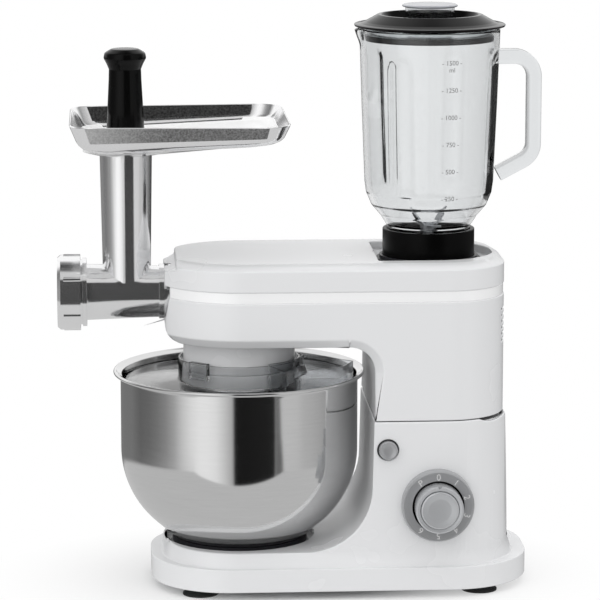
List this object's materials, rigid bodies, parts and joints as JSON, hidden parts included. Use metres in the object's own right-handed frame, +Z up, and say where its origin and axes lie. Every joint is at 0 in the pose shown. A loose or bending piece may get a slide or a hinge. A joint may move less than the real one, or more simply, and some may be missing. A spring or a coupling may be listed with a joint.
{
  "type": "stand mixer",
  "caption": "Tilt-head stand mixer: steel bowl under a clear splash guard, meat grinder with tray on the front hub, glass blender jug on the rear of the arm.",
  "frame": {"origin": "centre of the machine's footprint box, on the table", "axes": "+Z up; -X towards the head's nose and the grinder; -Y towards the side with the dial and the release button"},
  "size_m": [0.462, 0.2416, 0.5568],
  "materials": {
    "housing_white": "gloss",
    "band_silver": "satin",
    "control_silver": "satin",
    "bowl_steel": "brushed",
    "shaft_steel": "machined",
    "cast_alloy": "polished",
    "plate_grey": "matt",
    "black_plastic": "satin",
    "black_rubber": "matt",
    "clear_plastic": "clear",
    "jug_clear": "clear",
    "copper_wire": "enamelled",
    "gear_nylon": "matt",
    "gear_bronze": "machined",
    "board_green": "matt",
    "cap_clear": "gloss",
    "carbon": "matt"
  },
  "bodies": {
    "base": {"base_shell": "housing_white", "base_plate": "plate_grey", "base_screws": "shaft_steel", "suction_feet": "black_rubber", "bowl_seat": "plate_grey", "dial_scale_ring": "control_silver", "speed_switch": "black_plastic", "control_board": "board_green", "hinge_bracket": "shaft_steel", "hinge_pin": "shaft_steel", "cord_inlet": "black_plastic"},
    "bowl": {"bowl": "bowl_steel", "bowl_foot": "black_plastic"},
    "dial": {"speed_knob": "control_silver", "knob_cap": "control_silver"},
    "release": {"release_button": "control_silver", "latch_bolt": "shaft_steel"},
    "head": {"head_shell": "housing_white", "top_cover": "housing_white", "trim_band": "band_silver", "hub_socket": "cast_alloy", "jug_socket": "black_plastic", "drive_collar": "housing_white", "ring_gear": "gear_nylon", "gearbox_case": "cast_alloy", "gearbox_screws": "shaft_steel", "arm_hinge": "shaft_steel", "latch_striker": "shaft_steel", "drive_belt": "black_rubber", "motor_frame": "cast_alloy", "motor_stator": "shaft_steel", "field_coils": "copper_wire", "carbon_brushes": "carbon"},
    "rotor": {"motor_shaft": "shaft_steel", "rotor_core": "shaft_steel", "commutator": "copper_wire", "cooling_fan": "plate_grey", "motor_pulley": "cast_alloy", "jug_drive_dog": "black_plastic"},
    "layshaft": {"layshaft": "shaft_steel", "layshaft_pulley": "gear_nylon"},
    "carrier": {"main_shaft": "shaft_steel", "main_gear": "gear_bronze", "planet_carrier": "plate_grey"},
    "tool": {"tool_shaft": "shaft_steel", "planet_gear": "gear_nylon"},
    "hub_drive": {"hub_drive_shaft": "shaft_steel"},
    "guard": {"splash_guard": "clear_plastic"},
    "grinder": {"grinder_body": "cast_alloy", "grinder_plate": "shaft_steel"},
    "nut": {"ring_nut": "cast_alloy"},
    "screw": {"feed_screw": "cast_alloy", "grinder_knife": "shaft_steel"},
    "tray": {"hopper_tray": "cast_alloy"},
    "pusher": {"food_pusher": "black_plastic"},
    "jug": {"jug_glass": "jug_clear", "jug_collar": "black_plastic"},
    "blades": {"jug_blades": "shaft_steel"},
    "lid": {"jug_lid": "black_plastic"},
    "cap": {"filler_cap": "cap_clear"}
  },
  "joints": [
    {"name": "head_tilt", "type": "hinge", "parent": "base", "child": "head", "pos_m": [0.18025, 0, 0.195], "axis": [0, 1, 0], "range_deg": [0, 32]},
    {"name": "release_press", "type": "slide", "parent": "base", "child": "release", "axis": [0, 1, 0], "range_m": [0, 0.005], "stiffness_N_per_m": 300},
    {"name": "dial_turn", "type": "hinge", "parent": "base", "child": "dial", "pos_m": [0.12625, -0.083, 0.0895], "axis": [0, 1, 0], "range_deg": [-36, 216]},
    {"name": "bowl_twist", "type": "hinge", "parent": "base", "child": "bowl", "pos_m": [-0.05775, 0, 0.044], "axis": [0, 0, 1], "range_deg": [-40, 0]},
    {"name": "guard_twist", "type": "hinge", "parent": "head", "child": "guard", "pos_m": [-0.05775, 0, 0.205], "axis": [0, 0, 1], "range_deg": [-15, 15]},
    {"name": "motor_spin", "type": "hinge", "parent": "head", "child": "rotor", "pos_m": [0.12425, 0, 0.24], "axis": [0, 0, 1], "continuous": true},
    {"name": "layshaft_spin", "type": "hinge", "parent": "head", "child": "layshaft", "pos_m": [-0.01275, 0, 0.27], "axis": [0, 0, 1], "continuous": true},
    {"name": "carrier_spin", "type": "hinge", "parent": "head", "child": "carrier", "pos_m": [-0.05775, 0, 0.24], "axis": [0, 0, 1], "continuous": true},
    {"name": "tool_spin", "type": "hinge", "parent": "carrier", "child": "tool", "pos_m": [-0.02975, 0, 0.21], "axis": [0, 0, 1], "continuous": true},
    {"name": "hub_spin", "type": "hinge", "parent": "head", "child": "hub_drive", "pos_m": [-0.09775, 0, 0.2825], "axis": [1, 0, 0], "continuous": true},
    {"name": "grinder_pull", "type": "slide", "parent": "head", "child": "grinder", "axis": [-1, 0, 0], "range_m": [0, 0.045]},
    {"name": "screw_spin", "type": "hinge", "parent": "grinder", "child": "screw", "pos_m": [-0.15775, 0, 0.2825], "axis": [1, 0, 0], "continuous": true},
    {"name": "nut_turn", "type": "hinge", "parent": "grinder", "child": "nut", "pos_m": [-0.21775, 0, 0.2825], "axis": [1, 0, 0], "range_deg": [0, 360]},
    {"name": "tray_lift", "type": "slide", "parent": "grinder", "child": "tray", "axis": [0, 0, 1], "range_m": [0, 0.05]},
    {"name": "pusher_lift", "type": "slide", "parent": "grinder", "child": "pusher", "axis": [0, 0, 1], "range_m": [0, 0.12]},
    {"name": "jug_lift", "type": "slide", "parent": "head", "child": "jug", "axis": [0, 0, 1], "range_m": [0, 0.08]},
    {"name": "blade_spin", "type": "hinge", "parent": "jug", "child": "blades", "pos_m": [0.12425, 0, 0.345], "axis": [0, 0, 1], "continuous": true},
    {"name": "lid_lift", "type": "slide", "parent": "jug", "child": "lid", "axis": [0, 0, 1], "range_m": [0, 0.05]},
    {"name": "cap_lift", "type": "slide", "parent": "lid", "child": "cap", "axis": [0, 0, 1], "range_m": [0, 0.05]}
  ],
  "couplings": [
    {"joint": "layshaft_spin", "follows": "motor_spin", "ratio": 0.25},
    {"joint": "carrier_spin", "follows": "motor_spin", "ratio": -0.0625},
    {"joint": "tool_spin", "follows": "motor_spin", "ratio": 0.20833},
    {"joint": "hub_spin", "follows": "motor_spin", "ratio": 0.0625},
    {"joint": "screw_spin", "follows": "motor_spin", "ratio": 0.0625},
    {"joint": "blade_spin", "follows": "motor_spin", "ratio": 1}
  ]
}
